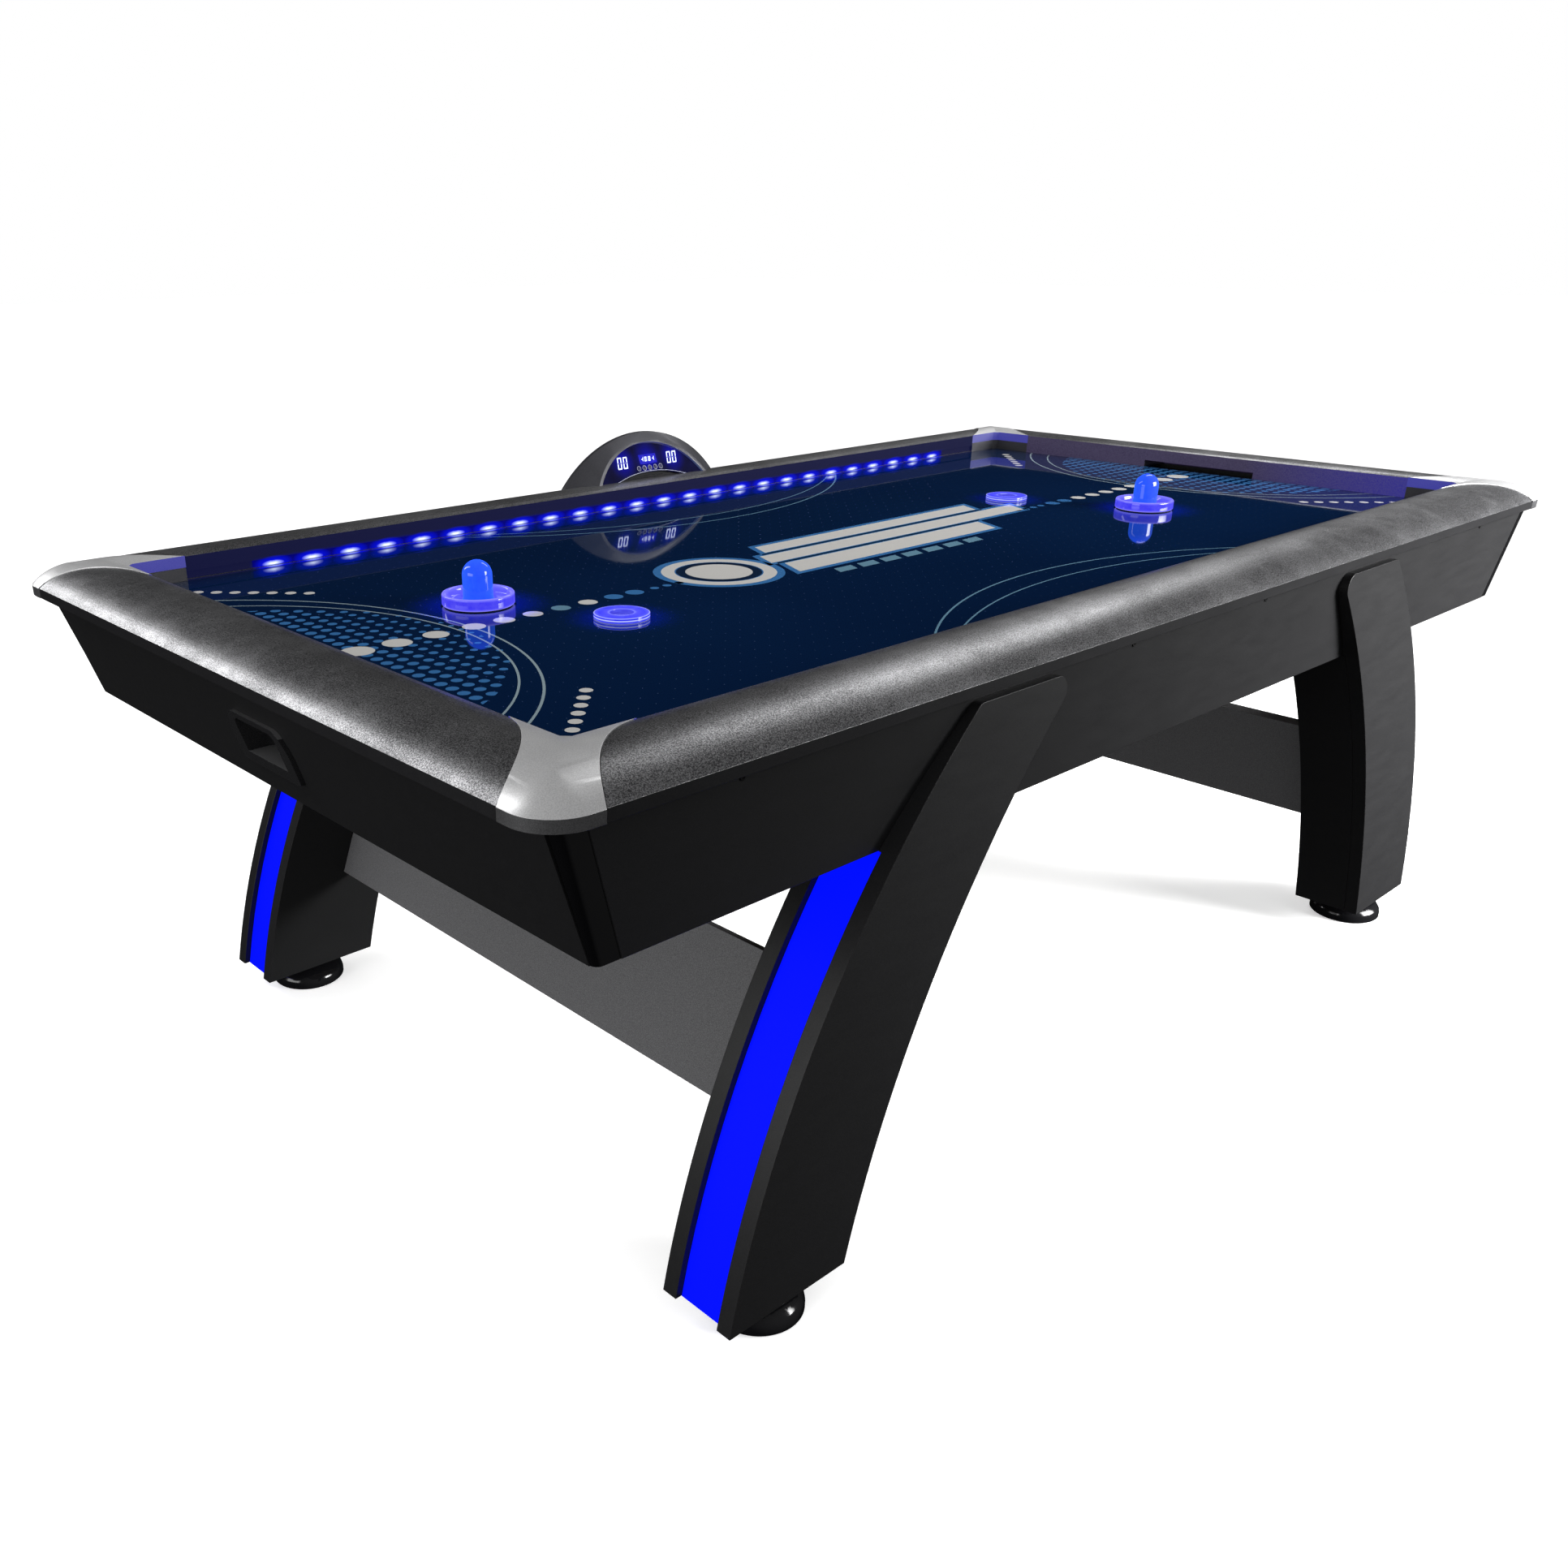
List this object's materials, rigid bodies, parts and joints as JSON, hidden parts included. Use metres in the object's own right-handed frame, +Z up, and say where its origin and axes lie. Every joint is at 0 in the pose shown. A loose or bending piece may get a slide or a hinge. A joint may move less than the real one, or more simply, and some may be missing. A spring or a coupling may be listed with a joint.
{
  "type": "air hockey table",
  "caption": "Full-size air hockey table with barrel rails, cast corner caps, an air-fed playing bed, swept lit legs, a domed scorer, strikers and pucks.",
  "frame": {"origin": "centre of the footprint, on the floor", "axes": "+X along the table towards the far end, +Y across it towards the scorer, +Z up"},
  "size_m": [2.286, 1.219, 0.85],
  "materials": {
    "rail_finish": "fine metallic speckle, satin",
    "cap_casting": "satin cast silver",
    "corner_block": "matte dark",
    "lamp_strip": "strip with small lit lamps",
    "play_surface": "high-gloss navy laminate with printed markings",
    "plenum_wood": "bare board",
    "black_laminate": "matte black laminate on board",
    "post_gloss": "black, slightly glossy",
    "moulded_black": "moulded black plastic",
    "screw_black": "black oxide",
    "leg_light": "diffuser lit blue",
    "stretcher_board": "charcoal laminate on board",
    "steel_dark": "zinc-plated steel",
    "foot_black": "glossy black",
    "blower_black": "moulded dark plastic",
    "motor_metal": "brushed steel",
    "guard_wire": "black painted wire",
    "scorer_shell": "grey satin plastic",
    "scorer_lens": "smoked glossy lens",
    "circuit": "circuit board with displays",
    "button_blue": "small glossy buttons",
    "striker_plastic": "translucent lit blue plastic",
    "felt": "thin black felt",
    "puck_plastic": "clear lit blue plastic"
  },
  "bodies": {
    "table": {"rail_front": "rail_finish", "rail_back": "rail_finish", "rail_left": "rail_finish", "rail_right": "rail_finish", "corner_cap_front_left": "cap_casting", "corner_cap_front_right": "cap_casting", "corner_cap_back_left": "cap_casting", "corner_cap_back_right": "cap_casting", "corner_blocks": "corner_block", "led_strip_front": "lamp_strip", "led_strip_back": "lamp_strip", "bed": "play_surface", "plenum_frame": "plenum_wood", "plenum_floor": "plenum_wood", "cross_beams": "plenum_wood", "apron_front": "black_laminate", "apron_back": "black_laminate", "apron_left": "black_laminate", "apron_right": "black_laminate", "corner_posts": "post_gloss", "puck_return_left": "moulded_black", "puck_return_right": "moulded_black", "apron_screws": "screw_black", "leg_panel_front_left": "black_laminate", "leg_panel_front_right": "black_laminate", "leg_panel_back_left": "black_laminate", "leg_panel_back_right": "black_laminate", "leg_frame_front_left": "black_laminate", "leg_frame_front_right": "black_laminate", "leg_frame_back_left": "black_laminate", "leg_frame_back_right": "black_laminate", "leg_lights": "leg_light", "stretcher_left": "stretcher_board", "stretcher_right": "stretcher_board", "leg_bolts": "steel_dark", "leveler_inserts": "steel_dark", "blower_housing": "blower_black", "blower_motor": "motor_metal", "blower_guard": "guard_wire", "power_panel": "moulded_black", "scorer_housing": "scorer_shell", "scorer_lens": "scorer_lens", "scorer_board": "circuit"},
    "striker_left": {"striker_left": "striker_plastic", "striker_felt_left": "felt"},
    "striker_right": {"striker_right": "striker_plastic", "striker_felt_right": "felt"},
    "puck_left": {"puck_left": "puck_plastic"},
    "puck_right": {"puck_right": "puck_plastic"},
    "impeller": {"blower_impeller": "blower_black"},
    "power_rocker": {"power_switch": "blower_black"},
    "score_button_1": {"score_button_1": "button_blue"},
    "score_button_2": {"score_button_2": "button_blue"},
    "score_button_3": {"score_button_3": "button_blue"},
    "score_button_4": {"score_button_4": "button_blue"},
    "score_button_5": {"score_button_5": "button_blue"},
    "foot_front_left": {"leveler_front_left": "foot_black"},
    "foot_front_right": {"leveler_front_right": "foot_black"},
    "foot_back_left": {"leveler_back_left": "foot_black"},
    "foot_back_right": {"leveler_back_right": "foot_black"}
  },
  "joints": [
    {"name": "foot_front_left_height", "type": "slide", "parent": "table", "child": "foot_front_left", "axis": [0, 0, -1], "range_m": [0, 0.02]},
    {"name": "foot_front_right_height", "type": "slide", "parent": "table", "child": "foot_front_right", "axis": [0, 0, -1], "range_m": [0, 0.02]},
    {"name": "foot_back_left_height", "type": "slide", "parent": "table", "child": "foot_back_left", "axis": [0, 0, -1], "range_m": [0, 0.02]},
    {"name": "foot_back_right_height", "type": "slide", "parent": "table", "child": "foot_back_right", "axis": [0, 0, -1], "range_m": [0, 0.02]},
    {"name": "impeller_spin", "type": "hinge", "parent": "table", "child": "impeller", "pos_m": [0, 0, 0.64], "axis": [0, 0, 1], "continuous": true},
    {"name": "score_button_1_press", "type": "slide", "parent": "table", "child": "score_button_1", "axis": [0, 0.9135, -0.4067], "range_m": [0, 0.0009], "stiffness_N_per_m": 400, "springref_m": -0.001},
    {"name": "score_button_2_press", "type": "slide", "parent": "table", "child": "score_button_2", "axis": [0, 0.9135, -0.4067], "range_m": [0, 0.0009], "stiffness_N_per_m": 400, "springref_m": -0.001},
    {"name": "score_button_3_press", "type": "slide", "parent": "table", "child": "score_button_3", "axis": [0, 0.9135, -0.4067], "range_m": [0, 0.0009], "stiffness_N_per_m": 400, "springref_m": -0.001},
    {"name": "score_button_4_press", "type": "slide", "parent": "table", "child": "score_button_4", "axis": [0, 0.9135, -0.4067], "range_m": [0, 0.0009], "stiffness_N_per_m": 400, "springref_m": -0.001},
    {"name": "score_button_5_press", "type": "slide", "parent": "table", "child": "score_button_5", "axis": [0, 0.9135, -0.4067], "range_m": [0, 0.0009], "stiffness_N_per_m": 400, "springref_m": -0.001},
    {"name": "power_rocker_tilt", "type": "hinge", "parent": "table", "child": "power_rocker", "pos_m": [0.175, 0.024, 0.643], "axis": [0, 1, 0], "range_deg": [0, 16]},
    {"name": "striker_left_glide", "type": "slide", "parent": "table", "child": "striker_left", "axis": [1, 0, 0], "range_m": [-0.25, 0.61]},
    {"name": "striker_right_glide", "type": "slide", "parent": "table", "child": "striker_right", "axis": [1, 0, 0], "range_m": [-0.47, 0.38]},
    {"name": "puck_left_glide", "type": "slide", "parent": "table", "child": "puck_left", "axis": [1, 0, 0], "range_m": [-0.37, 0.62]},
    {"name": "puck_right_glide", "type": "slide", "parent": "table", "child": "puck_right", "axis": [1, 0, 0], "range_m": [-0.49, 0.5]}
  ]
}
